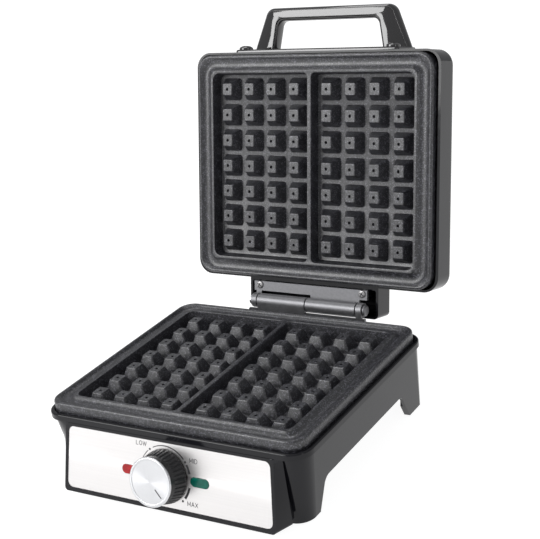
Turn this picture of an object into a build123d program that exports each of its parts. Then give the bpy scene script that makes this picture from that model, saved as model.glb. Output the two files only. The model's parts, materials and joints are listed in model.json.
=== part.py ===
from build123d import *
import os
from math import asin, cos, degrees, radians, sin, tan

# Double waffle maker. Millimetres. X to the right seen from the front, Y to the back, Z up.
# Everything is laid out from a point on the table under the middle of the lower plate, and each
# sub-part is moved by to_row just before it is saved. The lid stands open.

# ---- driving dimensions: the waffle pattern ----
pitch_x = 22.0                 # between stud columns
pitch_y = 21.6                 # between stud rows
stud_rows = 7
columns_per_waffle = 4
first_column = 15.5            # from the divider to the first column
stud_height = 10.0
stud_foot = 17.3               # square at the floor
stud_top = (9.2, 9.8)          # flat on top
crest_height = 1.2             # crest of the waffle wall above the stud tops
floor_thickness = 4.0
cavity_x, cavity_y = 96.0, 79.0          # half size of the waffle field at its crest
wall_draft = 1.7
groove_x, groove_y = 103.0, 85.9         # middle line of the overflow groove, half size
groove_corner = 10.0
groove_width, groove_depth = 11.0, 3.0
rim_x, rim_y, rim_corner = 111.0, 93.5, 13.0   # outside of the cast plate, half size
skirt_depth = 12.0             # outer side of the plate, down from the crest
plate_boss = (88.0, 56.0)      # fixing bosses under the plate, half spacing
plate_boss_radius = 4.6
plate_boss_depth = 9.0
plate_screw_radius = 2.0
groove_radius = (groove_width**2 / 4 + groove_depth**2) / (2 * groove_depth)
groove_centre = crest_height + groove_radius - groove_depth

# ---- driving dimensions: base ----
stud_top_z = 68.0              # tops of the lower studs above the table
flange_x, flange_y, flange_corner = 114.8, 97.3, 16.0
flange_bottom, flange_top = 56.5, 61.3
shelf_top = stud_top_z + crest_height - skirt_depth
wall = 2.6
leg_lip = 5.0                  # thickness of the side walls at the legs
# outside of the side walls: half width at the front and at the back, Y of front and back, corners
walls_top = (113.0, 113.0, -95.5, 96.3, 16.0, 15.0)      # under the flange
walls_foot = (104.8, 106.4, -89.5, 95.0, 13.0, 5.0)      # where the legs end
leg_bottom = 1.0
leg_inner = 89.0               # the front and back walls end here, between the legs
arch_height = 26.0             # lower edge of the side walls between the legs
front_leg_top, front_leg_foot = -63.0, -70.5    # back edge of the front leg, Y
rear_leg_top, rear_leg_foot = 57.0, 73.5        # front edge of the rear leg, Y
cover_thickness = 2.2
foot_radius, foot_boss = 5.0, 6.2
foot_places = ((-97.0, -80.0), (97.0, -80.0), (-99.5, 87.0), (99.5, 87.0))

# ---- driving dimensions: control panel ----
panel_lean = 15.9              # degrees, bottom edge forward
panel_y, panel_z = -104.67, 30.64        # the dial's axis on the steel plate's face
panel_above, panel_below = 24.5, 22.5    # the steel reaches this far from the axis
panel_top_half, panel_bottom_half = 88.8, 91.4
panel_border, panel_lip = 2.2, 3.4       # frame above and below the steel
panel_side_border = 2.8        # and at its ends
cheek_y, cheek_half = -96.5, 98.3        # ridge where the frame's cheeks end
cheek_low, cheek_high = 5.0, 57.2       # cut off level with the flange
cheek_step = 2.8               # the frame steps in behind the ridge
hollow_y = -89.0                # the hollow inside the frame is straight from here back
steel_thickness = 0.8
frame_wall = 2.6
lens_height, lens_length, lens_x = 7.0, 16.0, 30.6
knob_radius_base, knob_radius_neck = 20.1, 18.0
cap_radius = 18.2
knob_length = 18.0
knob_gap = 0.8
rib_count = 38
pointer_angle = 135.0          # clockwise from the top, at the hottest setting

# ---- driving dimensions: hinge and lid ----
hinge_y, hinge_z = 113.7, 68.0
open_lean = 15.4               # degrees behind the vertical
plate_gap = 3.0                # between the stud tops of both plates when shut
knuckle_radius = 6.0
pin_radius = 2.5
shell_x, shell_y, shell_corner = 115.2, 95.8, 13.0
shell_front, shell_back = 4.6, 32.0      # along the lid's thickness, from its stud tops
hinge_cover_x = 62.0
lid_screw_x = 49.4
strip_front, strip_back = 0.5, 3.0       # hinge strip, along the lid's thickness
handle_foot_half, handle_top_half, handle_rise = 75.5, 60.3, 37.5
opening_foot_half, opening_top_half, opening_rise = 51.3, 47.0, 26.2
handle_plate_half = 77.0
handle_front, handle_back = 28.0, 40.0
row_middle = 46.7              # middle of the whole object's depth

os.makedirs("parts", exist_ok=True)

# ---- shared places ----
to_row = Location((0, -row_middle, 0))
lid_out = Vector(0, cos(radians(open_lean)), -sin(radians(open_lean)))
lid_up = Vector(0, sin(radians(open_lean)), cos(radians(open_lean)))
hinge_point = Vector(0, hinge_y, hinge_z)
lid_origin = hinge_point + lid_up * hinge_y + lid_out * plate_gap
# Lid frame: X across, Y towards the hinge, Z from the stud tops out through the back of the lid.
lid = Plane(origin=lid_origin, x_dir=(1, 0, 0), z_dir=lid_out)
lid_side = Plane(origin=lid_origin, x_dir=lid.y_dir, z_dir=(1, 0, 0))
hinge_side = Plane(origin=hinge_point, x_dir=(0, 1, 0), z_dir=(1, 0, 0))
panel_out = Vector(0, -cos(radians(panel_lean)), sin(radians(panel_lean)))
# Panel frame: X across, Y up along the steel, Z out of its face.
panel = Plane(origin=(0, panel_y, panel_z), x_dir=(1, 0, 0), z_dir=panel_out)


def lid_place(x, y, z):
    """A place in the lid frame, as a location whose Z points out through the lid's back."""
    return lid.location * Location((x, y, z))


def facing(place, direction):
    """The place, turned so that its Z runs along direction."""
    return Plane(origin=place.position, z_dir=direction).location


def pan_screw(head_radius, head_height, shank_radius, length):
    """Pan-head screw with a cross recess. The seat of the head is at the origin, the head is up."""
    with BuildPart(mode=Mode.PRIVATE) as screw:
        with BuildSketch(Plane.XZ):
            with BuildLine():
                Line((0, -length), (shank_radius, -length))
                Line((shank_radius, -length), (shank_radius, 0))
                Line((shank_radius, 0), (head_radius, 0))
                Line((head_radius, 0), (head_radius, head_height * 0.45))
                ThreePointArc(
                    (head_radius, head_height * 0.45),
                    (head_radius * 0.72, head_height * 0.86),
                    (0, head_height),
                )
                Line((0, head_height), (0, -length))
            make_face()
        revolve(axis=Axis.Z)
        with BuildSketch(Plane.XY.offset(head_height * 0.35)):
            Rectangle(head_radius * 1.1, head_radius * 0.24)
            Rectangle(head_radius * 0.24, head_radius * 1.1)
        extrude(amount=head_height, mode=Mode.SUBTRACT)
    return screw.part


def screw_group(screw, places):
    """Copies of one screw, as separate solids, at each of the places."""
    with BuildPart() as group:
        with Locations(*places):
            add(screw)
    return group


# ---- cooking plates ----
def stud():
    """One waffle stud: a rounded frustum with a dimple in its top, standing on the floor."""
    with BuildPart(mode=Mode.PRIVATE) as body:
        with BuildSketch(Plane.XY.offset(-stud_height)):
            RectangleRounded(stud_foot, stud_foot, 3.0)
        with BuildSketch(Plane.XY):
            RectangleRounded(*stud_top, 1.7)
        loft(ruled=True)
        with BuildSketch(Plane.XY):
            Circle(1.2)
        extrude(amount=-1.6, mode=Mode.SUBTRACT)
    return body.part


def cast_plate(seat):
    """Cast plate for two waffles with its stud tops on the seat plane, cooking side up."""
    columns = [first_column + i * pitch_x for i in range(columns_per_waffle)]
    rows = [(i - (stud_rows - 1) / 2) * pitch_y for i in range(stud_rows)]
    with BuildPart(mode=Mode.PRIVATE) as plate:
        with BuildSketch(Plane.XY.offset(crest_height - skirt_depth)):
            RectangleRounded(2 * rim_x, 2 * rim_y, rim_corner)
        extrude(amount=skirt_depth)
        fillet(plate.edges().group_by(Axis.Z)[-1], 2.0)
        with BuildSketch(Plane.XY.offset(-stud_height - floor_thickness)):
            RectangleRounded(2 * rim_x - 16, 2 * rim_y - 16, rim_corner - 3)
        extrude(amount=floor_thickness)
        with BuildSketch(Plane.XY.offset(-stud_height)):
            RectangleRounded(2 * (cavity_x - wall_draft), 2 * (cavity_y - wall_draft), 5.0)
        with BuildSketch(Plane.XY.offset(crest_height)):
            RectangleRounded(2 * cavity_x, 2 * cavity_y, 6.5)
        loft(mode=Mode.SUBTRACT)
        run_x, run_y = groove_x - groove_corner, groove_y - groove_corner
        with BuildSketch(Plane.YZ.offset(-run_x)):
            with Locations((-groove_y, groove_centre), (groove_y, groove_centre)):
                Circle(groove_radius)
        extrude(amount=2 * run_x, mode=Mode.SUBTRACT)
        with BuildSketch(Plane.XZ.offset(-run_y)):
            with Locations((-groove_x, groove_centre), (groove_x, groove_centre)):
                Circle(groove_radius)
        extrude(amount=2 * run_y, mode=Mode.SUBTRACT)
        for side, end, start in ((1, 1, 0), (-1, 1, 90), (-1, -1, 180), (1, -1, 270)):
            out = Vector(cos(radians(start)), sin(radians(start)), 0)
            centre = (side * run_x, end * run_y, 0)
            corner = Plane(origin=centre, x_dir=out, z_dir=out.cross(Vector(0, 0, 1)))
            with BuildSketch(corner):
                with Locations((groove_corner, groove_centre)):
                    Circle(groove_radius)
            revolve(axis=Axis(corner.origin, (0, 0, 1)), revolution_arc=90, mode=Mode.SUBTRACT)
        with BuildSketch(Plane.XZ.offset(-cavity_y)):
            with BuildLine():
                Polyline(
                    (-2.5, -stud_height - 1),
                    (2.5, -stud_height - 1),
                    (1.0, crest_height),
                    (-1.0, crest_height),
                    close=True,
                )
            make_face()
        extrude(amount=2 * cavity_y)
        with Locations(*[(side * x, y) for side in (-1, 1) for x in columns for y in rows]):
            add(stud())
        with BuildSketch(Plane.XY.offset(-stud_height - floor_thickness)):
            with GridLocations(2 * plate_boss[0], 2 * plate_boss[1], 2, 2):
                Circle(plate_boss_radius)
        extrude(amount=-plate_boss_depth)
        with BuildSketch(Plane.XY.offset(-stud_height - floor_thickness - plate_boss_depth)):
            with GridLocations(2 * plate_boss[0], 2 * plate_boss[1], 2, 2):
                Circle(plate_screw_radius + 0.05)
        extrude(amount=plate_boss_depth, mode=Mode.SUBTRACT)
    with BuildPart() as placed:
        with Locations(seat.location):
            add(plate.part)
    return placed


lower_seat = Plane.XY.offset(stud_top_z)
# The lid's seat is the lid frame turned over, so that its own up points at the lower plate.
upper_seat = Plane(origin=lid_origin, x_dir=(1, 0, 0), z_dir=-lid_out)

lower_plate = cast_plate(lower_seat)
lower_plate.part.move(to_row)
lower_plate.part.label = "lower_plate"
export_step(lower_plate.part, "parts/lower_plate.step")

upper_plate = cast_plate(upper_seat)
upper_plate.part.move(to_row)
upper_plate.part.label = "upper_plate"
export_step(upper_plate.part, "parts/upper_plate.step")

# ---- heating of one plate, seen from the plate's seat: everything hangs below the floor ----
under = -stud_height - floor_thickness        # underside of the plate, below its stud tops
element_radius = 3.25
element_x, element_y, element_corner = 66.0, 52.0, 24.0
element_level = under - element_radius - 0.15
reflector_level = under - plate_boss_depth    # the pan closes on the ends of the bosses
reflector_x, reflector_y = 99.0, 80.0
sheet = 0.8


def heating_element(seat):
    """Tubular heater: one loop under the plate with its two cold ends near the front."""
    with BuildPart(mode=Mode.PRIVATE) as element:
        with BuildLine(Plane.XY.offset(element_level)) as run:
            FilletPolyline(
                (-22, -element_y),
                (-element_x, -element_y),
                (-element_x, element_y),
                (element_x, element_y),
                (element_x, -element_y),
                (22, -element_y),
                radius=element_corner,
            )
        with BuildSketch(Plane(run.wire().location_at(0))):
            Circle(element_radius)
        sweep(path=run.wire())
        for side in (-1, 1):
            cold_end = Plane(origin=(side * 22, -element_y, element_level), z_dir=(-side, 0, 0))
            with BuildSketch(cold_end):
                Circle(1.6)
            extrude(amount=11)
    with BuildPart() as placed:
        with Locations(seat.location):
            add(element.part)
    return placed


def reflector_pan(seat):
    """Bright sheet pan that keeps the heat at the plate, held under the plate's bosses."""
    with BuildPart(mode=Mode.PRIVATE) as pan:
        with BuildSketch(Plane.XY.offset(reflector_level)):
            RectangleRounded(2 * reflector_x, 2 * reflector_y, 12)
        extrude(amount=-sheet)
        with BuildSketch(Plane.XY.offset(reflector_level)):
            RectangleRounded(2 * reflector_x, 2 * reflector_y, 12)
            inner_x, inner_y = reflector_x - sheet, reflector_y - sheet
            RectangleRounded(2 * inner_x, 2 * inner_y, 12 - sheet, mode=Mode.SUBTRACT)
        extrude(amount=plate_boss_depth - 0.2)
        with BuildSketch(Plane.XY.offset(reflector_level)):
            with GridLocations(2 * plate_boss[0], 2 * plate_boss[1], 2, 2):
                Circle(plate_screw_radius + 0.3)
            with GridLocations(60, 40, 2, 2):
                SlotOverall(24, 5)
        extrude(amount=-sheet, mode=Mode.SUBTRACT)
    with BuildPart() as placed:
        with Locations(seat.location):
            add(pan.part)
    return placed


def plate_screw_places(seat):
    """Where the screws enter the bosses from under the pan, heads pointing away from the plate."""
    level = reflector_level - sheet
    corners = [(side * plate_boss[0], end * plate_boss[1]) for side in (-1, 1) for end in (-1, 1)]
    return [seat.location * Location((x, y, level), (180, 0, 0)) for x, y in corners]


plate_screw = pan_screw(3.6, 2.4, plate_screw_radius, 8.0)

lower_heating_element = heating_element(lower_seat)
lower_heating_element.part.move(to_row)
lower_heating_element.part.label = "lower_heating_element"
export_step(lower_heating_element.part, "parts/lower_heating_element.step")

upper_heating_element = heating_element(upper_seat)
upper_heating_element.part.move(to_row)
upper_heating_element.part.label = "upper_heating_element"
export_step(upper_heating_element.part, "parts/upper_heating_element.step")

lower_reflector = reflector_pan(lower_seat)
lower_reflector.part.move(to_row)
lower_reflector.part.label = "lower_reflector"
export_step(lower_reflector.part, "parts/lower_reflector.step")

upper_reflector = reflector_pan(upper_seat)
upper_reflector.part.move(to_row)
upper_reflector.part.label = "upper_reflector"
export_step(upper_reflector.part, "parts/upper_reflector.step")

lower_plate_screws = screw_group(plate_screw, plate_screw_places(lower_seat))
lower_plate_screws.part.move(to_row)
lower_plate_screws.part.label = "lower_plate_screws"
export_step(lower_plate_screws.part, "parts/lower_plate_screws.step")

upper_plate_screws = screw_group(plate_screw, plate_screw_places(upper_seat))
upper_plate_screws.part.move(to_row)
upper_plate_screws.part.label = "upper_plate_screws"
export_step(upper_plate_screws.part, "parts/upper_plate_screws.step")

# ---- base housing: flange, tapering walls, four legs ----
cover_post = (92.0, 70.0)      # posts that take the bottom cover's screws, half spacing
cover_top = arch_height + cover_thickness
sole_top = leg_bottom + 3.0
shelf_bottom = 54.0            # underside of the ledge that carries the plate
hinge_pad_y = 97.0             # flat pad on the rear wall for the hinge bracket and the gland
gland_x, gland_z, gland_radius = -66.0, 42.0, 6.4
bracket_screw_x = (-38.0, -13.0, 13.0, 38.0)
bracket_screw_z = 44.0


def wall_section(height, inset):
    """Outline of the side walls at a height above the table, moved inwards by inset."""
    share = (height - leg_bottom) / (flange_bottom - leg_bottom)
    sizes = [low + share * (high - low) for low, high in zip(walls_foot, walls_top)]
    front_half, back_half, front, back, front_corner, back_corner = sizes
    front_half, back_half = front_half - inset, back_half - inset
    with BuildLine(mode=Mode.PRIVATE) as outline:
        Polyline(
            (-front_half, front + inset),
            (front_half, front + inset),
            (back_half, back - inset),
            (-back_half, back - inset),
            close=True,
        )
    with BuildSketch(mode=Mode.PRIVATE) as section:
        add(outline.line)
        make_face()
        fillet(section.vertices().group_by(Axis.Y)[0], front_corner - inset)
        fillet(section.vertices().group_by(Axis.Y)[-1], max(back_corner - inset, 1.0))
    return section.sketch


def side_walls(low, high, inset):
    """The tapering block inside the outer faces, moved inwards by inset, between two heights."""
    with BuildPart(mode=Mode.PRIVATE) as walls:
        for height in (low, high):
            with BuildSketch(Plane.XY.offset(height)):
                add(wall_section(height, inset))
        loft(ruled=True)
    return walls.part


with BuildPart(mode=Mode.PRIVATE) as leg_lips:
    add(side_walls(leg_bottom, arch_height, wall - 0.5))
    add(side_walls(leg_bottom, arch_height, leg_lip), mode=Mode.SUBTRACT)
    with BuildSketch(Plane.XY):
        with Locations((0, front_leg_foot), (0, rear_leg_foot)):
            Rectangle(260, 16)
    extrude(amount=arch_height, mode=Mode.INTERSECT)

with BuildPart() as base_housing:
    add(side_walls(leg_bottom, flange_bottom, 0))
    with BuildSketch(Plane.XZ.offset(-hinge_pad_y)):
        with Locations(((gland_x - 12 + 58) / 2, 43.5)):
            Rectangle(58 - gland_x + 12, 21)
    extrude(amount=6)
    with BuildSketch(Plane.XY.offset(flange_bottom)):
        RectangleRounded(2 * flange_x, 2 * flange_y, flange_corner)
    extrude(amount=flange_top - flange_bottom)
    fillet(base_housing.edges().group_by(Axis.Z)[-1], 1.3)
    # pocket for the plate's skirt, then the inside down to the soles
    with BuildSketch(Plane.XY.offset(shelf_top)):
        RectangleRounded(2 * rim_x + 2.4, 2 * rim_y + 2.4, rim_corner + 1.2)
    extrude(amount=10, mode=Mode.SUBTRACT)
    with BuildSketch(Plane.XY.offset(shelf_bottom - 1)):
        RectangleRounded(2 * rim_x - 10, 2 * rim_y - 10, rim_corner - 1)
    extrude(amount=10, mode=Mode.SUBTRACT)
    add(side_walls(leg_bottom, shelf_bottom, wall), mode=Mode.SUBTRACT)
    add(leg_lips.part)
    # bosses for the rubber feet, low in the corners of the legs
    with BuildSketch(Plane.XY.offset(leg_bottom)):
        with Locations(*foot_places):
            Circle(foot_boss)
    extrude(amount=sole_top - leg_bottom)
    # posts for the bottom cover's screws, each ribbed to its side wall
    with BuildSketch(Plane.XY.offset(cover_top)):
        with GridLocations(2 * cover_post[0], 2 * cover_post[1], 2, 2):
            Circle(4.5)
        with GridLocations(2 * cover_post[0] + 16, 2 * cover_post[1], 2, 2):
            Rectangle(16, 3)
    extrude(amount=14)
    # arches: through the sides, then through the front and the back
    with BuildSketch(Plane.YZ.offset(-130)):
        with BuildLine():
            FilletPolyline(
                (front_leg_foot, 0),
                (front_leg_top, arch_height),
                (rear_leg_top, arch_height),
                (rear_leg_foot, 0),
                radius=7,
            )
            Line((front_leg_foot, 0), (rear_leg_foot, 0))
        make_face()
    extrude(amount=260, mode=Mode.SUBTRACT)
    with BuildSketch(Plane.XY):
        Rectangle(2 * leg_inner, 260)
    extrude(amount=arch_height, mode=Mode.SUBTRACT)
    # openings: controls at the front, cord gland and hinge screws at the back
    with BuildSketch(Plane.XZ.offset(80)):
        with Locations((0, (arch_height + 52) / 2)):
            Rectangle(124, 52 - arch_height)
    extrude(amount=20, mode=Mode.SUBTRACT)
    with BuildSketch(Plane.XZ.offset(-hinge_pad_y)):
        with Locations((gland_x, gland_z)):
            Circle(gland_radius + 0.1)
        with Locations(*[(x, bracket_screw_z) for x in bracket_screw_x]):
            Circle(2.0)
    extrude(amount=12, mode=Mode.SUBTRACT)
    # holes: rubber feet and cover screws
    with BuildSketch(Plane.XY):
        with Locations(*foot_places):
            Circle(2.5)
    extrude(amount=sole_top, mode=Mode.SUBTRACT)
    with BuildSketch(Plane.XY.offset(cover_top)):
        with GridLocations(2 * cover_post[0], 2 * cover_post[1], 2, 2):
            Circle(1.55)
    extrude(amount=11, mode=Mode.SUBTRACT)
base_housing.part.move(to_row)
base_housing.part.label = "base_housing"
export_step(base_housing.part, "parts/base_housing.step")

with BuildPart() as bottom_cover:
    with BuildSketch(Plane.XY.offset(arch_height)):
        add(wall_section(arch_height, wall + 0.4))
        with GridLocations(2 * cover_post[0], 2 * cover_post[1], 2, 2):
            Circle(1.8, mode=Mode.SUBTRACT)
        with GridLocations(13, 70, 9, 2):
            SlotOverall(34, 4, rotation=90, mode=Mode.SUBTRACT)
        with Locations((0, walls_foot[2])):
            Rectangle(130, 12, mode=Mode.SUBTRACT)
    extrude(amount=cover_thickness)
bottom_cover.part.move(to_row)
bottom_cover.part.label = "bottom_cover"
export_step(bottom_cover.part, "parts/bottom_cover.step")

cover_corners = [(side * cover_post[0], end * cover_post[1]) for side in (-1, 1) for end in (-1, 1)]
bottom_cover_screws = screw_group(
    pan_screw(3.0, 1.9, 1.5, 9.0),
    [Location((x, y, arch_height), (180, 0, 0)) for x, y in cover_corners],
)
bottom_cover_screws.part.move(to_row)
bottom_cover_screws.part.label = "bottom_cover_screws"
export_step(bottom_cover_screws.part, "parts/bottom_cover_screws.step")

with BuildPart() as rubber_feet:
    with BuildSketch(Plane.XY):
        with Locations(*foot_places):
            Circle(foot_radius)
    extrude(amount=leg_bottom)
    with BuildSketch(Plane.XY.offset(leg_bottom)):
        with Locations(*foot_places):
            Circle(2.45)
    extrude(amount=4.5)
    chamfer(rubber_feet.faces().filter_by(Axis.Z).group_by(Axis.Z)[0].edges(), 0.4)
rubber_feet.part.move(to_row)
rubber_feet.part.label = "rubber_feet"
export_step(rubber_feet.part, "parts/rubber_feet.step")

with BuildPart() as cord_gland:
    with BuildSketch(Plane.XZ.offset(-hinge_pad_y - 2)):
        with Locations((gland_x, gland_z)):
            Circle(gland_radius + 2)
    extrude(amount=2)
    with BuildSketch(Plane.XZ.offset(-hinge_pad_y)):
        with Locations((gland_x, gland_z)):
            Circle(gland_radius)
    extrude(amount=8)
    with BuildSketch(Plane.XZ.offset(-hinge_pad_y - 2)):
        with Locations((gland_x, gland_z)):
            Circle(3.4)
    extrude(amount=10, mode=Mode.SUBTRACT)
cord_gland.part.move(to_row)
cord_gland.part.label = "cord_gland"
export_step(cord_gland.part, "parts/cord_gland.step")

# ---- wiring pieces inside the base ----
block_x, block_y = -30.0, 52.0
with BuildPart() as terminal_block:
    with BuildSketch(Plane.XY.offset(cover_top)):
        with Locations((block_x, block_y)):
            Rectangle(36, 15)
    extrude(amount=10)
    with BuildSketch(Plane.XY.offset(cover_top + 10)):
        with Locations(*[(block_x + i * 11, block_y) for i in (-1, 0, 1)]):
            Circle(2.1)
    extrude(amount=-5, mode=Mode.SUBTRACT)
    with BuildSketch(Plane.XZ.offset(-block_y - 10)):
        with Locations(*[(block_x + i * 11, cover_top + 4) for i in (-1, 0, 1)]):
            Circle(1.7)
    extrude(amount=20, mode=Mode.SUBTRACT)
terminal_block.part.move(to_row)
terminal_block.part.label = "terminal_block"
export_step(terminal_block.part, "parts/terminal_block.step")

terminal_screws = screw_group(
    pan_screw(1.95, 1.4, 1.2, 2.6),
    [Location((block_x + i * 11, block_y, cover_top + 8.2)) for i in (-1, 0, 1)],
)
terminal_screws.part.move(to_row)
terminal_screws.part.label = "terminal_screws"
export_step(terminal_screws.part, "parts/terminal_screws.step")

pan_bottom = stud_top_z + reflector_level - sheet
with BuildPart() as thermal_fuse:
    with BuildSketch(Plane.YZ.offset(20)):
        with Locations((34, pan_bottom - 2.6)):
            Circle(2.5)
    extrude(amount=28)
    fillet(thermal_fuse.edges().filter_by(GeomType.CIRCLE), 0.8)
    with BuildSketch(Plane.YZ.offset(10)):
        with Locations((34, pan_bottom - 2.6)):
            Circle(0.6)
    extrude(amount=48)
thermal_fuse.part.move(to_row)
thermal_fuse.part.label = "thermal_fuse"
export_step(thermal_fuse.part, "parts/thermal_fuse.step")

# ---- control panel ----
frame_face = 0.4               # the frame stands this far proud of the steel
steel_corner = 4.5
thermostat_hole = 5.2
stem_radius = 3.0


def panel_outline(side, above, below, corner):
    """The steel plate's outline, a little wider at its foot, grown by the borders given."""
    top, bottom = panel_above + above, -panel_below - below
    top_half, bottom_half = panel_top_half + side, panel_bottom_half + side
    with BuildLine(mode=Mode.PRIVATE) as outline:
        Polyline(
            (-bottom_half, bottom),
            (bottom_half, bottom),
            (top_half, top),
            (-top_half, top),
            close=True,
        )
    with BuildSketch(mode=Mode.PRIVATE) as shape:
        add(outline.line)
        make_face()
        fillet(shape.vertices(), corner)
    return shape.sketch


def cheek_section(inset, inset_z):
    """Upright rectangle at the ridge of the cheeks, moved inwards."""
    with BuildSketch(mode=Mode.PRIVATE) as section:
        with Locations((0, (cheek_low + cheek_high) / 2)):
            RectangleRounded(2 * (cheek_half - inset), cheek_high - cheek_low - 2 * inset_z, 2.0)
    return section.sketch


with BuildPart() as panel_frame:
    with BuildSketch(panel.offset(frame_face)):
        add(panel_outline(panel_side_border, panel_border, panel_lip, 3.0))
    with BuildSketch(Plane.XZ.offset(-cheek_y)):
        add(cheek_section(0, 0))
    loft(ruled=True)
    with BuildSketch(Plane.XZ.offset(-cheek_y)):
        add(cheek_section(cheek_step, 0))
    extrude(amount=-14)
    inner_front = panel.offset(-steel_thickness - frame_wall)
    with BuildSketch(inner_front):
        add(
            panel_outline(
                panel_side_border - frame_wall, panel_border - frame_wall, panel_lip - frame_wall, 2.5
            )
        )
    with BuildSketch(Plane.XZ.offset(-hollow_y)):
        add(cheek_section(cheek_step + frame_wall, frame_wall))
    loft(ruled=True, mode=Mode.SUBTRACT)
    with BuildSketch(Plane.XZ.offset(-hollow_y)):
        add(cheek_section(cheek_step + frame_wall, frame_wall))
    extrude(amount=-10, mode=Mode.SUBTRACT)
    add(side_walls(leg_bottom, flange_bottom, 0), mode=Mode.SUBTRACT)
    with BuildSketch(Plane.XY.offset(flange_bottom)):
        Rectangle(2 * flange_x, 260)
    extrude(amount=5, mode=Mode.SUBTRACT)
    with BuildSketch(panel.offset(-steel_thickness)):
        add(panel_outline(0.15, 0.15, 0.15, steel_corner + 0.15))
    extrude(amount=4, mode=Mode.SUBTRACT)
    with BuildSketch(panel.offset(-steel_thickness)):
        Circle(thermostat_hole)
        with Locations((-lens_x, 0), (lens_x, 0)):
            SlotOverall(lens_length + 0.3, lens_height + 0.3)
    extrude(amount=-6, mode=Mode.SUBTRACT)
panel_frame.part.move(to_row)
panel_frame.part.label = "panel_frame"
export_step(panel_frame.part, "parts/panel_frame.step")

with BuildPart() as control_panel:
    with BuildSketch(panel.offset(-steel_thickness)):
        add(panel_outline(0, 0, 0, steel_corner))
        Circle(thermostat_hole, mode=Mode.SUBTRACT)
        with Locations((-lens_x, 0), (lens_x, 0)):
            SlotOverall(lens_length + 0.3, lens_height + 0.3, mode=Mode.SUBTRACT)
    extrude(amount=steel_thickness)
control_panel.part.move(to_row)
control_panel.part.label = "control_panel"
export_step(control_panel.part, "parts/control_panel.step")

wall_back = -steel_thickness - frame_wall


def indicator_lens(x):
    """Pill-shaped window with a flange behind the frame and a socket for its lamp."""
    with BuildPart() as lens:
        with BuildSketch(panel.offset(wall_back)):
            with Locations((x, 0)):
                SlotOverall(lens_length, lens_height)
        extrude(amount=-wall_back + 0.4)
        fillet(lens.faces().sort_by(Axis(panel.origin, panel.z_dir))[-1].edges(), 0.35)
        with BuildSketch(panel.offset(wall_back)):
            with Locations((x, 0)):
                SlotOverall(lens_length + 3, lens_height + 2.4)
        extrude(amount=-5.5)
        with BuildSketch(panel.offset(wall_back - 5.5)):
            with Locations((x, 0)):
                Circle(2.8)
        extrude(amount=4.2, mode=Mode.SUBTRACT)
    return lens


red_lens = indicator_lens(-lens_x)
red_lens.part.move(to_row)
red_lens.part.label = "red_lens"
export_step(red_lens.part, "parts/red_lens.step")

green_lens = indicator_lens(lens_x)
green_lens.part.move(to_row)
green_lens.part.label = "green_lens"
export_step(green_lens.part, "parts/green_lens.step")

with BuildPart() as indicator_lamps:
    with BuildSketch(panel.offset(wall_back - 1.6)):
        with Locations((-lens_x, 0), (lens_x, 0)):
            Circle(2.6)
    extrude(amount=-11)
    fillet(indicator_lamps.edges().filter_by(GeomType.CIRCLE), 1.0)
indicator_lamps.part.move(to_row)
indicator_lamps.part.label = "indicator_lamps"
export_step(indicator_lamps.part, "parts/indicator_lamps.step")

# ---- thermostat, its shaft and the knob ----
with BuildPart() as thermostat:
    with BuildSketch(panel.offset(wall_back)):
        Circle(8.0)
    extrude(amount=-1.2)
    with BuildSketch(panel.offset(wall_back - 1.2)):
        RectangleRounded(26, 18, 2)
    extrude(amount=-8)
    with BuildSketch(panel.offset(wall_back)):
        Circle(thermostat_hole - 0.2)
    extrude(amount=-wall_back + 3.0)
    with BuildSketch(panel.offset(3.0)):
        Circle(stem_radius + 0.05)
    extrude(amount=wall_back - 9.0, mode=Mode.SUBTRACT)
    with BuildSketch(panel.offset(wall_back - 9.2)):
        with Locations((-8, 0), (8, 0)):
            Rectangle(0.8, 6.3)
    extrude(amount=-5)
thermostat.part.move(to_row)
thermostat.part.label = "thermostat"
export_step(thermostat.part, "parts/thermostat.step")

with BuildPart() as thermostat_nut:
    with BuildSketch(panel.offset(0.05)):
        RegularPolygon(7.5, 6)
        Circle(thermostat_hole - 0.15, mode=Mode.SUBTRACT)
    extrude(amount=2.2)
thermostat_nut.part.move(to_row)
thermostat_nut.part.label = "thermostat_nut"
export_step(thermostat_nut.part, "parts/thermostat_nut.step")

stem_end = 13.0
flat_start = 4.4
flat_depth = 1.0
with BuildPart() as thermostat_shaft:
    with BuildSketch(panel.offset(wall_back - 5.0)):
        Circle(stem_radius)
    extrude(amount=stem_end - wall_back + 5.0)
    with BuildSketch(panel.offset(flat_start)):
        with Locations((0, stem_radius)):
            Rectangle(8, 2 * flat_depth)
    extrude(amount=20, mode=Mode.SUBTRACT)
thermostat_shaft.part.move(to_row)
thermostat_shaft.part.label = "thermostat_shaft"
export_step(thermostat_shaft.part, "parts/thermostat_shaft.step")

rib_top = 11.4
neck_top = 14.4
rib_radius = 0.85
rib_low = panel.offset(knob_gap)
rib_run = Vector(knob_radius_neck - knob_radius_base, 0, rib_top - knob_gap)


def rib_plane(index):
    """Start of one groove between two ribs, looking up along the tapering grip."""
    turn = radians(360.0 * index / rib_count)
    across = panel.x_dir * cos(turn) + panel.y_dir * sin(turn)
    start = rib_low.origin + across * (knob_radius_base + 0.35)
    return Plane(origin=start, z_dir=across * rib_run.X + panel.z_dir * rib_run.Z)


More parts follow.
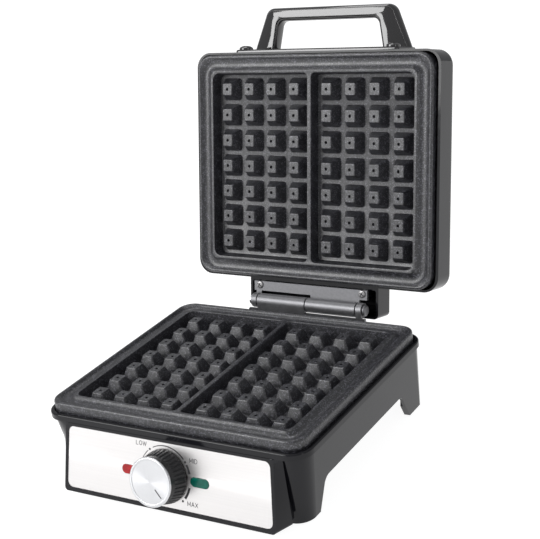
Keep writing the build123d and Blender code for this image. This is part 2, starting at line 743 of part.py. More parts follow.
with BuildPart() as knob_grip:
    with BuildSketch(panel.offset(knob_gap)):
        Circle(knob_radius_base)
    with BuildSketch(panel.offset(rib_top)):
        Circle(knob_radius_neck)
    loft()
    with BuildSketch(*[rib_plane(i) for i in range(rib_count)]):
        Circle(rib_radius)
    extrude(amount=rib_run.length, mode=Mode.SUBTRACT)
    with BuildSketch(panel.offset(rib_top)):
        Circle(knob_radius_neck - 0.3)
    extrude(amount=neck_top - rib_top)
    # hollow underside with a boss around the shaft
    with BuildSketch(panel.offset(knob_gap)):
        Circle(knob_radius_base - 4.4)
        Circle(6.2, mode=Mode.SUBTRACT)
    extrude(amount=8.0, mode=Mode.SUBTRACT)
    with BuildSketch(panel.offset(knob_gap)):
        Circle(9.4)
    extrude(amount=flat_start - knob_gap + 0.3, mode=Mode.SUBTRACT)
    with BuildSketch(panel.offset(knob_gap)):
        Circle(stem_radius + 0.05)
        with Locations((0, stem_radius + 0.05)):
            Rectangle(8, 2 * flat_depth - 1.3, mode=Mode.SUBTRACT)
    extrude(amount=stem_end + 0.2 - knob_gap, mode=Mode.SUBTRACT)
knob_grip.part.move(to_row)
knob_grip.part.label = "knob_grip"
export_step(knob_grip.part, "parts/knob_grip.step")

with BuildPart() as knob_clip:
    with BuildSketch(panel.offset(flat_start + 0.4)):
        with Locations((0, stem_radius - flat_depth + 0.3)):
            Rectangle(2.6, 0.4)
    extrude(amount=8.0)
knob_clip.part.move(to_row)
knob_clip.part.label = "knob_clip"
export_step(knob_clip.part, "parts/knob_clip.step")

dial_radius = 15.8
with BuildPart() as knob_cap:
    with BuildSketch(panel.offset(neck_top)):
        Circle(cap_radius)
    extrude(amount=knob_length - neck_top)
    cap_face = knob_cap.faces().sort_by(Axis(panel.origin, panel.z_dir))[-1]
    fillet(cap_face.edges(), 1.2)
    with BuildSketch(panel.offset(knob_length)):
        Circle(dial_radius)
    extrude(amount=-0.35, mode=Mode.SUBTRACT)
    with BuildSketch(panel.offset(knob_length)):
        with Locations(Location((0, 0, 0), (0, 0, -pointer_angle))):
            with Locations((0, dial_radius - 5.5)):
                Rectangle(0.7, 8)
    extrude(amount=-0.7, mode=Mode.SUBTRACT)
knob_cap.part.move(to_row)
knob_cap.part.label = "knob_cap"
export_step(knob_cap.part, "parts/knob_cap.step")

# ---- hinge ----
running_gap = 0.05
base_knuckles = ((-47.0, -0.5), (48.0, 53.0))
lid_knuckles = ((-53.0, -48.0), (0.5, 47.0))
bracket_sheet = 2.5
bracket_half = 56.0
riser_top = 62.2               # the riser stands up to just under the lid's knuckles
bracket_step_z = 52.5          # top of the bracket's step under the flange


def knuckle(start, end):
    """A plain knuckle around the hinge axis, from start to end along X."""
    with BuildPart(mode=Mode.PRIVATE) as barrel:
        with BuildSketch(hinge_side.offset(start)):
            Circle(knuckle_radius)
        extrude(amount=end - start)
    return barrel.part


with BuildPart() as base_hinge_bracket:
    riser_y = hinge_y - knuckle_radius
    with BuildSketch(Plane.YZ.offset(-bracket_half)):
        with BuildLine():
            Polyline(
                (hinge_pad_y, 35),
                (hinge_pad_y + bracket_sheet, 35),
                (hinge_pad_y + bracket_sheet, bracket_step_z - bracket_sheet),
                (riser_y + bracket_sheet, bracket_step_z - bracket_sheet),
                (riser_y + bracket_sheet, riser_top),
                (riser_y, riser_top),
                (riser_y, bracket_step_z),
                (hinge_pad_y, bracket_step_z),
                close=True,
            )
        make_face()
    extrude(amount=2 * bracket_half)
    for start, end in base_knuckles:
        with BuildSketch(Plane.YZ.offset(start)):
            with Locations((riser_y + bracket_sheet / 2, (hinge_z + 58) / 2)):
                Rectangle(bracket_sheet, hinge_z - 58)
        extrude(amount=end - start)
        add(knuckle(start, end))
    with BuildSketch(hinge_side.offset(-60)):
        Circle(pin_radius + running_gap)
    extrude(amount=120, mode=Mode.SUBTRACT)
    with BuildSketch(Plane.XZ.offset(-hinge_pad_y - bracket_sheet)):
        with Locations(*[(x, bracket_screw_z) for x in bracket_screw_x]):
            Circle(2.1)
    extrude(amount=bracket_sheet, mode=Mode.SUBTRACT)
base_hinge_bracket.part.move(to_row)
base_hinge_bracket.part.label = "base_hinge_bracket"
export_step(base_hinge_bracket.part, "parts/base_hinge_bracket.step")

rear_screw_seat = hinge_pad_y + bracket_sheet
base_hinge_screws = screw_group(
    pan_screw(3.4, 2.2, 1.95, 9.0),
    [
        Plane(origin=(x, rear_screw_seat, bracket_screw_z), z_dir=(0, 1, 0)).location
        for x in bracket_screw_x
    ],
)
base_hinge_screws.part.move(to_row)
base_hinge_screws.part.label = "base_hinge_screws"
export_step(base_hinge_screws.part, "parts/base_hinge_screws.step")

with BuildPart() as hinge_pin:
    with BuildSketch(hinge_side.offset(-56.2)):
        Circle(pin_radius)
    extrude(amount=110.2)
    with BuildSketch(hinge_side.offset(53.6)):
        Circle(4.6)
    extrude(amount=2.4)
    fillet(hinge_pin.faces().sort_by(Axis.X)[-1].edges(), 1.6)
hinge_pin.part.move(to_row)
hinge_pin.part.label = "hinge_pin"
export_step(hinge_pin.part, "parts/hinge_pin.step")

with BuildPart() as pin_clip:
    with BuildSketch(hinge_side.offset(-55.2)):
        Circle(4.4)
        Circle(pin_radius + 0.02, mode=Mode.SUBTRACT)
        with Locations((0, -4)):
            Rectangle(3.6, 6, mode=Mode.SUBTRACT)
    extrude(amount=1.0)
pin_clip.part.move(to_row)
pin_clip.part.label = "pin_clip"
export_step(pin_clip.part, "parts/pin_clip.step")

strip_low, strip_high = 97.9, 106.0      # across the hinge strip, in the lid frame's Y
lid_screw_y = 101.6
with BuildPart() as lid_hinge_bracket:
    with BuildSketch(lid.offset(strip_front)):
        with Locations((-0.5, (strip_low + strip_high) / 2)):
            Rectangle(109, strip_high - strip_low)
        for start, end in lid_knuckles:
            with Locations(((start + end) / 2, (strip_low + hinge_y) / 2)):
                Rectangle(end - start, hinge_y - strip_low)
    extrude(amount=strip_back - strip_front)
    for start, end in lid_knuckles:
        add(knuckle(start, end))
    with BuildSketch(hinge_side.offset(-60)):
        Circle(pin_radius + running_gap)
    extrude(amount=120, mode=Mode.SUBTRACT)
    with BuildSketch(lid.offset(strip_front)):
        with Locations((-lid_screw_x, lid_screw_y), (lid_screw_x, lid_screw_y)):
            Circle(2.0)
    extrude(amount=strip_back - strip_front, mode=Mode.SUBTRACT)
lid_hinge_bracket.part.move(to_row)
lid_hinge_bracket.part.label = "lid_hinge_bracket"
export_step(lid_hinge_bracket.part, "parts/lid_hinge_bracket.step")

lid_hinge_screws = screw_group(
    pan_screw(3.2, 1.7, 1.75, 9.0),
    [
        lid_place(side * lid_screw_x, lid_screw_y, strip_front) * Location((0, 0, 0), (180, 0, 0))
        for side in (-1, 1)
    ],
)
lid_hinge_screws.part.move(to_row)
lid_hinge_screws.part.label = "lid_hinge_screws"
export_step(lid_hinge_screws.part, "parts/lid_hinge_screws.step")

# ---- lid ----
shell_wall = 2.5
end_wall = 1.7                 # front and hinge side, thinner because the plate's rim sits close
hinge_cover_y = 122.0
hinge_cover_front, hinge_cover_back = 5.2, 27.6
cover_wall = 2.2
cover_screw_x, cover_screw_depth = 30.0, 19.0
handle_screw_x, handle_screw_depth = 69.8, 12.6
handle_plate_top = shell_y + 2.3

with BuildPart(mode=Mode.PRIVATE) as shell_inside:
    with BuildSketch(lid.offset(shell_front)):
        inner_x, inner_y = shell_x - shell_wall, shell_y - end_wall
        RectangleRounded(2 * inner_x, 2 * inner_y, shell_corner - shell_wall)
    extrude(amount=shell_back - shell_wall - shell_front)
    fillet(shell_inside.faces().sort_by(Axis(lid.origin, lid.z_dir))[-1].edges(), 5.5)

with BuildPart() as lid_shell:
    with BuildSketch(lid.offset(shell_front)):
        RectangleRounded(2 * shell_x, 2 * shell_y, shell_corner)
    extrude(amount=shell_back - shell_front)
    fillet(lid_shell.faces().sort_by(Axis(lid.origin, lid.z_dir))[-1].edges(), 7)
    add(shell_inside.part, mode=Mode.SUBTRACT)
    front_wall = Plane(origin=lid.origin - lid.y_dir * shell_y, x_dir=(1, 0, 0), z_dir=-lid.y_dir)
    with BuildSketch(front_wall):
        with Locations((-handle_screw_x, handle_screw_depth), (handle_screw_x, handle_screw_depth)):
            Circle(2.0)
    extrude(amount=-5, mode=Mode.SUBTRACT)
    rear_wall = Plane(origin=lid.origin + lid.y_dir * shell_y, x_dir=(-1, 0, 0), z_dir=lid.y_dir)
    with BuildSketch(rear_wall):
        with Locations((-cover_screw_x, cover_screw_depth), (cover_screw_x, cover_screw_depth)):
            Circle(1.8)
    extrude(amount=-5, mode=Mode.SUBTRACT)
lid_shell.part.move(to_row)
lid_shell.part.label = "lid_shell"
export_step(lid_shell.part, "parts/lid_shell.step")

with BuildPart() as hinge_cover:
    span = hinge_cover_y - shell_y
    middle = (hinge_cover_y + shell_y) / 2
    with BuildSketch(lid.offset(hinge_cover_front)):
        with Locations((0, middle)):
            Rectangle(2 * hinge_cover_x, span)
    extrude(amount=hinge_cover_back - hinge_cover_front)
    far_edges = hinge_cover.edges().filter_by(Axis(lid.origin, lid.z_dir))
    fillet(far_edges.group_by(Axis(lid.origin, lid.y_dir))[-1], 4)
    far_face = hinge_cover.faces().sort_by(Axis(lid.origin, lid.z_dir))[-1]
    fillet(far_face.edges().sort_by(Axis(lid.origin, lid.y_dir))[1:], 3)
    with BuildSketch(lid.offset(hinge_cover_front)):
        with Locations((0, middle)):
            RectangleRounded(2 * (hinge_cover_x - cover_wall), span - 2 * cover_wall, 2)
    extrude(amount=hinge_cover_back - hinge_cover_front - cover_wall, mode=Mode.SUBTRACT)
    with BuildSketch(lid.offset(strip_back)):
        with Locations((-lid_screw_x, lid_screw_y), (lid_screw_x, lid_screw_y)):
            Circle(4.0)
    extrude(amount=hinge_cover_back - strip_back - 1)
    with BuildSketch(lid.offset(strip_back)):
        with Locations((-lid_screw_x, lid_screw_y), (lid_screw_x, lid_screw_y)):
            Circle(1.8)
    extrude(amount=9, mode=Mode.SUBTRACT)
    with BuildSketch(rear_wall):
        with Locations((-cover_screw_x, cover_screw_depth), (cover_screw_x, cover_screw_depth)):
            Circle(1.6)
    extrude(amount=cover_wall, mode=Mode.SUBTRACT)
hinge_cover.part.move(to_row)
hinge_cover.part.label = "hinge_cover"
export_step(hinge_cover.part, "parts/hinge_cover.step")

inner_rear_face = shell_y - end_wall
hinge_cover_screws = screw_group(
    pan_screw(3.0, 1.9, 1.55, 4.6),
    [
        facing(lid_place(side * cover_screw_x, inner_rear_face, cover_screw_depth), -lid.y_dir)
        for side in (-1, 1)
    ],
)
hinge_cover_screws.part.move(to_row)
hinge_cover_screws.part.label = "hinge_cover_screws"
export_step(hinge_cover_screws.part, "parts/hinge_cover_screws.step")

# ---- handle ----
handle_plane = Plane(origin=lid.origin, x_dir=(1, 0, 0), z_dir=-lid_out)
# In the handle's plane, Y runs up from the middle of the lid and Z towards the front of the open lid.
loop_foot = shell_y + 0.4
with BuildPart() as handle:
    with BuildSketch(handle_plane.offset(-handle_back)):
        with BuildLine():
            FilletPolyline(
                (-handle_foot_half, loop_foot),
                (-handle_top_half, shell_y + handle_rise),
                (handle_top_half, shell_y + handle_rise),
                (handle_foot_half, loop_foot),
                radius=9,
            )
            Line((-handle_foot_half, loop_foot), (handle_foot_half, loop_foot))
        make_face()
        with BuildLine():
            FilletPolyline(
                (-opening_foot_half, handle_plate_top),
                (-opening_top_half, shell_y + opening_rise),
                (opening_top_half, shell_y + opening_rise),
                (opening_foot_half, handle_plate_top),
                radius=6,
            )
            Line((-opening_foot_half, handle_plate_top), (opening_foot_half, handle_plate_top))
        make_face(mode=Mode.SUBTRACT)
    extrude(amount=handle_back - handle_front)
    loop_edges = handle.edges().filter_by(Axis(lid.origin, lid.z_dir), reverse=True)
    raised = [e for e in loop_edges if (e.center() - lid.origin).dot(lid_up) > handle_plate_top + 1.0]
    fillet(raised, 3.4)
    with BuildSketch(front_wall):
        with Locations((0, (6.0 + handle_back) / 2)):
            RectangleRounded(2 * handle_plate_half, handle_back - 6.0, 3.0)
    extrude(amount=handle_plate_top - shell_y)
    with BuildSketch(front_wall.offset(handle_plate_top - shell_y)):
        with Locations((-handle_screw_x, handle_screw_depth), (handle_screw_x, handle_screw_depth)):
            Circle(2.0)
    extrude(amount=-10, mode=Mode.SUBTRACT)
handle.part.move(to_row)
handle.part.label = "handle"
export_step(handle.part, "parts/handle.step")

handle_screws = screw_group(
    pan_screw(5.8, 3.0, 1.95, 3.9),
    [
        facing(lid_place(side * handle_screw_x, -handle_plate_top, handle_screw_depth), -lid.y_dir)
        for side in (-1, 1)
    ],
)
handle_screws.part.move(to_row)
handle_screws.part.label = "handle_screws"
export_step(handle_screws.part, "parts/handle_screws.step")
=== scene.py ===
import json
import math

import bmesh
import bpy
from mathutils import Matrix, Vector


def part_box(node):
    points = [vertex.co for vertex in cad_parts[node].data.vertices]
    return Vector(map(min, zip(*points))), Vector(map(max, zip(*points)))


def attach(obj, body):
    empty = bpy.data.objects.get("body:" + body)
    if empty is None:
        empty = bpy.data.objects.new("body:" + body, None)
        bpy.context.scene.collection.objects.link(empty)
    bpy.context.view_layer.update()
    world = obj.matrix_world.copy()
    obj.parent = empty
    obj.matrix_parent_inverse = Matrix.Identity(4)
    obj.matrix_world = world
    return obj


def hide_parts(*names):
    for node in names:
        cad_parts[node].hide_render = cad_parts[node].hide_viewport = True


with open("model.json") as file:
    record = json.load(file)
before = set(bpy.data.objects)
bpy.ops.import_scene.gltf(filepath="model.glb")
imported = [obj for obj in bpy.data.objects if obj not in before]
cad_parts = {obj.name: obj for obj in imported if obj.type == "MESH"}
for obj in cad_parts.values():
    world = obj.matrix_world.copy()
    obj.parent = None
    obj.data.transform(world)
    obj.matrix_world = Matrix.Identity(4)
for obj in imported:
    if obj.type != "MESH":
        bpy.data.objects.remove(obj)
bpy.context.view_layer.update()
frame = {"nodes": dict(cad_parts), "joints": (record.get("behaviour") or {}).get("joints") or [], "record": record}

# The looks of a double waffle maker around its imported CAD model. Shapes are worked out in
# millimetres in the frame of the part they belong to, and turned into metres by piece().
MM = 0.001
joints = {joint["name"]: joint for joint in frame["joints"]}


# ---- places: frames of the lower plate, the lid, the upper plate and the control panel ----
def placed(origin, x_axis, z_axis):
    """A 4x4 matrix in metres from an origin, an X direction and a Z direction."""
    x_axis, z_axis = Vector(x_axis).normalized(), Vector(z_axis).normalized()
    y_axis = z_axis.cross(x_axis)
    turn = Matrix((x_axis, y_axis, z_axis)).transposed().to_4x4()
    return Matrix.Translation(origin) @ turn


OPEN_LEAN = math.radians(15.4)
PLATE_GAP = 3.0
HINGE_REACH = 0.1137           # from the middle of either plate to the hinge's axis
hinge = Vector(joints["lid_hinge"]["pos_m"])
plate_y = hinge.y - HINGE_REACH
lid_out = Vector((0, math.cos(OPEN_LEAN), -math.sin(OPEN_LEAN)))
lid_up = Vector((0, math.sin(OPEN_LEAN), math.cos(OPEN_LEAN)))
lid_middle = hinge + lid_up * HINGE_REACH + lid_out * PLATE_GAP * MM
LOWER_SEAT = placed((0, plate_y, hinge.z), (1, 0, 0), (0, 0, 1))
UPPER_SEAT = placed(lid_middle, (1, 0, 0), -lid_out)
LID = placed(lid_middle, (1, 0, 0), lid_out)
PANEL = placed(joints["knob_turn"]["pos_m"], (1, 0, 0), joints["knob_turn"]["axis"])


# ---- mesh building ----
def rounded_ring(half_x, half_y, corners, z, centre=(0, 0), steps=8):
    """A rounded rectangle at height z, anticlockwise, always with the same number of points.

    corners is one radius, or four, starting at +X +Y and going anticlockwise.
    """
    radii = corners if hasattr(corners, "__len__") else (corners,) * 4
    ring = []
    for quarter, (side, end) in enumerate(((1, 1), (-1, 1), (-1, -1), (1, -1))):
        radius = radii[quarter]
        middle = (centre[0] + side * (half_x - radius), centre[1] + end * (half_y - radius))
        for step in range(steps + 1):
            angle = (quarter + step / steps) * math.pi / 2
            ring.append(
                (middle[0] + radius * math.cos(angle), middle[1] + radius * math.sin(angle), z)
            )
    return ring


def circle_ring(radius, z, count, centre=(0, 0)):
    """A circle at height z with count points."""
    turns = [2 * math.pi * i / count for i in range(count)]
    return [(centre[0] + radius * math.cos(a), centre[1] + radius * math.sin(a), z) for a in turns]


class Shell:
    """Collects vertices and faces in millimetres."""

    def __init__(self):
        self.mesh = bmesh.new()

    def ring(self, points):
        return [self.mesh.verts.new(point) for point in points]

    def bridge(self, low, high):
        count = len(low)
        for i in range(count):
            j = (i + 1) % count
            self.mesh.faces.new((low[i], low[j], high[j], high[i]))

    def cap(self, ring, flip=False):
        self.mesh.faces.new(ring[::-1] if flip else ring)

    def stack(self, rings, start_cap=True, end_cap=True):
        """Closed skin through rings of equal length; returns the first and last ring's vertices."""
        made = [self.ring(points) for points in rings]
        for low, high in zip(made, made[1:]):
            self.bridge(low, high)
        if start_cap:
            self.cap(made[0], flip=True)
        if end_cap:
            self.cap(made[-1])
        return made[0], made[-1]


def piece(name, shell, place, body, material, stands_for=(), sharp=35):
    """Makes the collected shell an object that rides on a CAD body; sharp is an angle in degrees."""
    bmesh.ops.recalc_face_normals(shell.mesh, faces=shell.mesh.faces)
    shell.mesh.transform(Matrix.Scale(MM, 4))
    mesh = bpy.data.meshes.new(name)
    shell.mesh.to_mesh(mesh)
    shell.mesh.free()
    mesh.shade_smooth()
    mesh.set_sharp_from_angle(angle=math.radians(sharp))
    made = bpy.data.objects.new(name, mesh)
    bpy.context.scene.collection.objects.link(made)
    made.matrix_world = place
    mesh.materials.append(material)
    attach(made, body)
    if stands_for:
        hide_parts(*stands_for)


# ---- materials ----
def new_material(name, **sockets):
    """A material with one Principled shader whose constant sockets are set directly."""
    material = bpy.data.materials.new(name)
    material.use_nodes = True
    shader = material.node_tree.nodes["Principled BSDF"]
    for socket, value in sockets.items():
        shader.inputs[socket.replace("_", " ")].default_value = value
    return material, material.node_tree, shader


def object_coordinates(tree, scale=(1, 1, 1)):
    """Object coordinates in metres, stretched by scale."""
    coordinates = tree.nodes.new("ShaderNodeTexCoord")
    mapping = tree.nodes.new("ShaderNodeMapping")
    mapping.inputs["Scale"].default_value = scale
    tree.links.new(coordinates.outputs["Object"], mapping.inputs["Vector"])
    return mapping.outputs["Vector"]


def noise(tree, vector, scale, detail=3.0, roughness=0.55):
    """A noise value around one half."""
    texture = tree.nodes.new("ShaderNodeTexNoise")
    texture.inputs["Scale"].default_value = scale
    texture.inputs["Detail"].default_value = detail
    texture.inputs["Roughness"].default_value = roughness
    tree.links.new(vector, texture.inputs["Vector"])
    return texture.outputs["Fac"]


def span(tree, value, low, high, new_low, new_high):
    """The value moved from one range to another, and kept inside it."""
    node = tree.nodes.new("ShaderNodeMapRange")
    limits = {"From Min": low, "From Max": high, "To Min": new_low, "To Max": new_high}
    for name, number in limits.items():
        node.inputs[name].default_value = number
    tree.links.new(value, node.inputs["Value"])
    return node.outputs["Result"]


def blend_colours(tree, share, first, second):
    """First colour where share is 0, second where it is 1."""
    node = tree.nodes.new("ShaderNodeMix")
    node.data_type = "RGBA"
    node.inputs["A"].default_value = (*first, 1)
    node.inputs["B"].default_value = (*second, 1)
    tree.links.new(share, node.inputs["Factor"])
    return node.outputs["Result"]


def bump(tree, shader, height, strength, distance_mm):
    """Small relief from a height value."""
    node = tree.nodes.new("ShaderNodeBump")
    node.inputs["Strength"].default_value = strength
    node.inputs["Distance"].default_value = distance_mm * MM
    tree.links.new(height, node.inputs["Height"])
    tree.links.new(node.outputs["Normal"], shader.inputs["Normal"])


def nonstick():
    """Dark non-stick coating on a casting: fine grain and metal flecks."""
    material, tree, shader = new_material("nonstick", Metallic=0.0, Specular_IOR_Level=0.7)
    vector = object_coordinates(tree)
    fleck = tree.nodes.new("ShaderNodeTexVoronoi")
    fleck.inputs["Scale"].default_value = 1500
    tree.links.new(vector, fleck.inputs["Vector"])
    split = tree.nodes.new("ShaderNodeSeparateColor")
    tree.links.new(fleck.outputs["Color"], split.inputs["Color"])
    share = span(tree, split.outputs["Red"], 0.72, 1.0, 0.0, 1.0)
    colour = blend_colours(tree, share, (0.011, 0.011, 0.0135), (0.12, 0.12, 0.14))
    tree.links.new(colour, shader.inputs["Base Color"])
    tree.links.new(span(tree, noise(tree, vector, 90), 0.3, 0.7, 0.33, 0.44), shader.inputs["Roughness"])
    bump(tree, shader, noise(tree, vector, 1400, 2.0), 0.35, 0.08)
    return material


def gloss_black(name="gloss_black", tint=(0.005, 0.005, 0.0065), rough=0.07, gleam=0.26):
    """Moulded high-gloss black: faint flow waves, fine dust-like variation in the polish."""
    material, tree, shader = new_material(name, Specular_IOR_Level=gleam)
    vector = object_coordinates(tree)
    colour = blend_colours(tree, noise(tree, vector, 25), tint, tuple(1.6 * c for c in tint))
    tree.links.new(colour, shader.inputs["Base Color"])
    smudge = span(tree, noise(tree, vector, 60, 5.0), 0.35, 0.75, rough, rough + 0.09)
    tree.links.new(smudge, shader.inputs["Roughness"])
    bump(tree, shader, noise(tree, vector, 45, 1.0), 0.08, 0.25)
    return material


def matt_black(name, tint=(0.022, 0.022, 0.023), rough=0.5, grain=900):
    """Moulded or rubber black with a spark-eroded grain."""
    material, tree, shader = new_material(name, Specular_IOR_Level=0.4)
    vector = object_coordinates(tree)
    colour = blend_colours(tree, noise(tree, vector, 200), tint, tuple(1.7 * c for c in tint))
    tree.links.new(colour, shader.inputs["Base Color"])
    polish = span(tree, noise(tree, vector, 300), 0.3, 0.7, rough - 0.08, rough + 0.1)
    tree.links.new(polish, shader.inputs["Roughness"])
    bump(tree, shader, noise(tree, vector, grain, 2.0), 0.25, 0.1)
    return material


def brushed_steel():
    """Stainless sheet brushed along its length."""
    material, tree, shader = new_material("brushed_steel", Metallic=1.0, Anisotropic=0.55)
    vector = object_coordinates(tree, (6, 1500, 1500))
    streak = noise(tree, vector, 1.0, 4.0, 0.7)
    colour = blend_colours(tree, streak, (0.66, 0.645, 0.64), (0.78, 0.765, 0.76))
    tree.links.new(colour, shader.inputs["Base Color"])
    tree.links.new(span(tree, streak, 0.3, 0.7, 0.3, 0.42), shader.inputs["Roughness"])
    bump(tree, shader, streak, 0.12, 0.03)
    return material


def spun_metal():
    """Turned aluminium with fine rings around the local Z axis."""
    material, tree, shader = new_material("spun_aluminium", Metallic=1.0, Anisotropic=0.85)
    vector = object_coordinates(tree)
    rings = tree.nodes.new("ShaderNodeTexWave")
    rings.wave_type = "RINGS"
    rings.rings_direction = "Z"
    rings.inputs["Scale"].default_value = 900
    rings.inputs["Distortion"].default_value = 0.4
    tree.links.new(vector, rings.inputs["Vector"])
    colour = blend_colours(tree, rings.outputs["Fac"], (0.56, 0.565, 0.58), (0.66, 0.665, 0.68))
    tree.links.new(colour, shader.inputs["Base Color"])
    tree.links.new(span(tree, rings.outputs["Fac"], 0, 1, 0.22, 0.3), shader.inputs["Roughness"])
    around = tree.nodes.new("ShaderNodeTangent")
    around.direction_type = "RADIAL"
    around.axis = "Z"
    tree.links.new(around.outputs["Tangent"], shader.inputs["Tangent"])
    bump(tree, shader, rings.outputs["Fac"], 0.1, 0.02)
    return material


def plain_metal(name, low, high, rough=0.25, scale=120, metallic=1.0):
    """Sheet, rod or plated metal with a little cloudiness."""
    material, tree, shader = new_material(name, Metallic=metallic)
    vector = object_coordinates(tree)
    cloud = noise(tree, vector, scale, 4.0)
    tree.links.new(blend_colours(tree, cloud, low, high), shader.inputs["Base Color"])
    tree.links.new(span(tree, cloud, 0.3, 0.7, rough - 0.05, rough + 0.1), shader.inputs["Roughness"])
    bump(tree, shader, noise(tree, vector, scale * 8, 2.0), 0.12, 0.05)
    return material


def clear_plastic(name, low, high):
    """Tinted lamp window: glossy skin over a moulded pattern."""
    material, tree, shader = new_material(name, Transmission_Weight=0.05, Specular_IOR_Level=0.3)
    vector = object_coordinates(tree)
    colour = blend_colours(tree, noise(tree, vector, 260, 1.0), low, high)
    tree.links.new(colour, shader.inputs["Base Color"])
    tree.links.new(span(tree, noise(tree, vector, 500), 0.3, 0.7, 0.08, 0.2), shader.inputs["Roughness"])
    return material


def ink():
    """Dark print on the steel, also used as the painted shade of the screw heads' cross recesses."""
    material, tree, shader = new_material("ink_and_painted_shade", Specular_IOR_Level=0.3)
    vector = object_coordinates(tree)
    colour = blend_colours(tree, noise(tree, vector, 900), (0.02, 0.02, 0.022), (0.05, 0.05, 0.055))
    tree.links.new(colour, shader.inputs["Base Color"])
    tree.links.new(span(tree, noise(tree, vector, 700), 0.3, 0.7, 0.4, 0.6), shader.inputs["Roughness"])
    return material


NONSTICK = nonstick()
GLOSS = gloss_black()
HANDLE_GLOSS = gloss_black("handle_gloss", (0.010, 0.0095, 0.010), 0.03, 0.8)
MATT = matt_black("matt_black")
RUBBER = matt_black("black_rubber", (0.016, 0.016, 0.016), 0.7, 500)
KNOB_BLACK = matt_black("knob_black", (0.014, 0.014, 0.015), 0.38, 1200)
BAKELITE = matt_black("dark_bakelite", (0.05, 0.03, 0.02), 0.45, 700)
STEEL = brushed_steel()
SPUN = spun_metal()
HINGE_STEEL = plain_metal("hinge_steel", (0.13, 0.13, 0.137), (0.25, 0.25, 0.26), 0.42, 500, 0.75)
SCREW_STEEL = plain_metal("dark_screw", (0.22, 0.22, 0.225), (0.36, 0.35, 0.35), 0.35, 500, 0.9)
ZINC = plain_metal("zinc_steel", (0.5, 0.5, 0.52), (0.68, 0.68, 0.7), 0.25)
SHEET = plain_metal("aluminised_sheet", (0.55, 0.55, 0.56), (0.7, 0.7, 0.7), 0.35)
SHEATH = plain_metal("element_sheath", (0.2, 0.18, 0.15), (0.4, 0.36, 0.3), 0.4, 60)
BRASS = plain_metal("brass", (0.55, 0.4, 0.16), (0.75, 0.58, 0.28), 0.3)
CERAMIC = matt_black("white_ceramic", (0.55, 0.55, 0.52), 0.6, 400)
RED = clear_plastic("red_window", (0.14, 0.003, 0.005), (0.48, 0.014, 0.018))
GREEN = clear_plastic("green_window", (0.0, 0.035, 0.028), (0.0, 0.14, 0.095))
GLASS = clear_plastic("lamp_glass", (0.7, 0.68, 0.66), (0.85, 0.83, 0.8))
INK_AND_SHADE = ink()

CAD_LOOKS = {
    "gloss_black_plastic": GLOSS,
    "handle_gloss": HANDLE_GLOSS,
    "black_plastic": MATT,
    "nonstick": NONSTICK,
    "brushed_steel": STEEL,
    "spun_aluminium": SPUN,
    "knob_black": KNOB_BLACK,
    "red_lens": RED,
    "green_lens": GREEN,
    "lamp_glass": GLASS,
    "hinge_steel": HINGE_STEEL,
    "dark_screw": SCREW_STEEL,
    "zinc_steel": ZINC,
    "plain_steel": ZINC,
    "element_steel": SHEATH,
    "aluminised_sheet": SHEET,
    "black_rubber": RUBBER,
    "white_ceramic": CERAMIC,
    "dark_bakelite": BAKELITE,
    "brass": BRASS,
}
slot_of = {row["node"]: row["material_slot"] for row in frame["record"]["subparts"]}
for node, made in frame["nodes"].items():
    made.data.materials.clear()
    made.data.materials.append(CAD_LOOKS[slot_of[node]])


# ---- cooking plates ----
PITCH_X, PITCH_Y = 22.0, 21.6
COLUMNS = [side * (15.5 + i * PITCH_X) for side in (-1, 1) for i in range(4)]
ROWS = [(i - 3) * PITCH_Y for i in range(7)]
STUD_HEIGHT, CREST = 10.0, 1.2
STUD_LONGER = 0.3              # half length less half width of a stud
CAVITY_X, CAVITY_Y, DRAFT = 96.0, 79.0, 1.7
EDGE, DIVIDER = 0.35, 1.35     # rounding of the crest's edge; half width of the divider's top
FIELD_CORNER, DIVIDER_CORNER = 6.9, 4.2
GROOVE_X, GROOVE_Y, GROOVE_CORNER = 103.0, 85.9, 10.0
GROOVE_HALF, GROOVE_DEPTH = 5.5, 3.0
GROOVE_RADIUS = (GROOVE_HALF**2 + GROOVE_DEPTH**2) / (2 * GROOVE_DEPTH)
RIM_X, RIM_Y, RIM_CORNER = 111.0, 93.5, 13.0
SKIRT = 12.0
FLOOR_THICKNESS = 4.0
RIM_WALL = 8.0                 # width of the rim's underside


def stud_rings(x, y):
    """Rings of one stud from below the floor up its sloping sides and down into its dimple."""
    # half width, corner radius and height above the floor
    feet = (
        (9.6, 2.8, -0.25), (9.3, 2.7, 0.0), (8.85, 2.5, 0.12), (8.55, 2.3, 0.55), (8.3, 2.2, 1.2),
    )
    tops = (
        (4.9, 1.15, 9.25), (4.8, 1.1, 9.55), (4.62, 1.0, 9.8),
        (4.4, 0.9, 9.95), (4.15, 0.8, 10.0), (3.9, 0.7, 10.0),
    )
    rings = [
        rounded_ring(half, half + STUD_LONGER, corner, height - STUD_HEIGHT, (x, y), 5)
        for half, corner, height in feet + tops
    ]
    # round dimple, its points turned to lie nearest those of the top's edge
    count = len(rings[0])
    turn = [math.radians(7.5 + 360 * i / count) for i in range(count)]
    for radius, depth in ((1.6, 0.0), (1.35, 0.0), (1.2, 0.12), (1.1, 2.2)):
        rings.append([(x + radius * math.cos(a), y + radius * math.sin(a), -depth) for a in turn])
    return rings


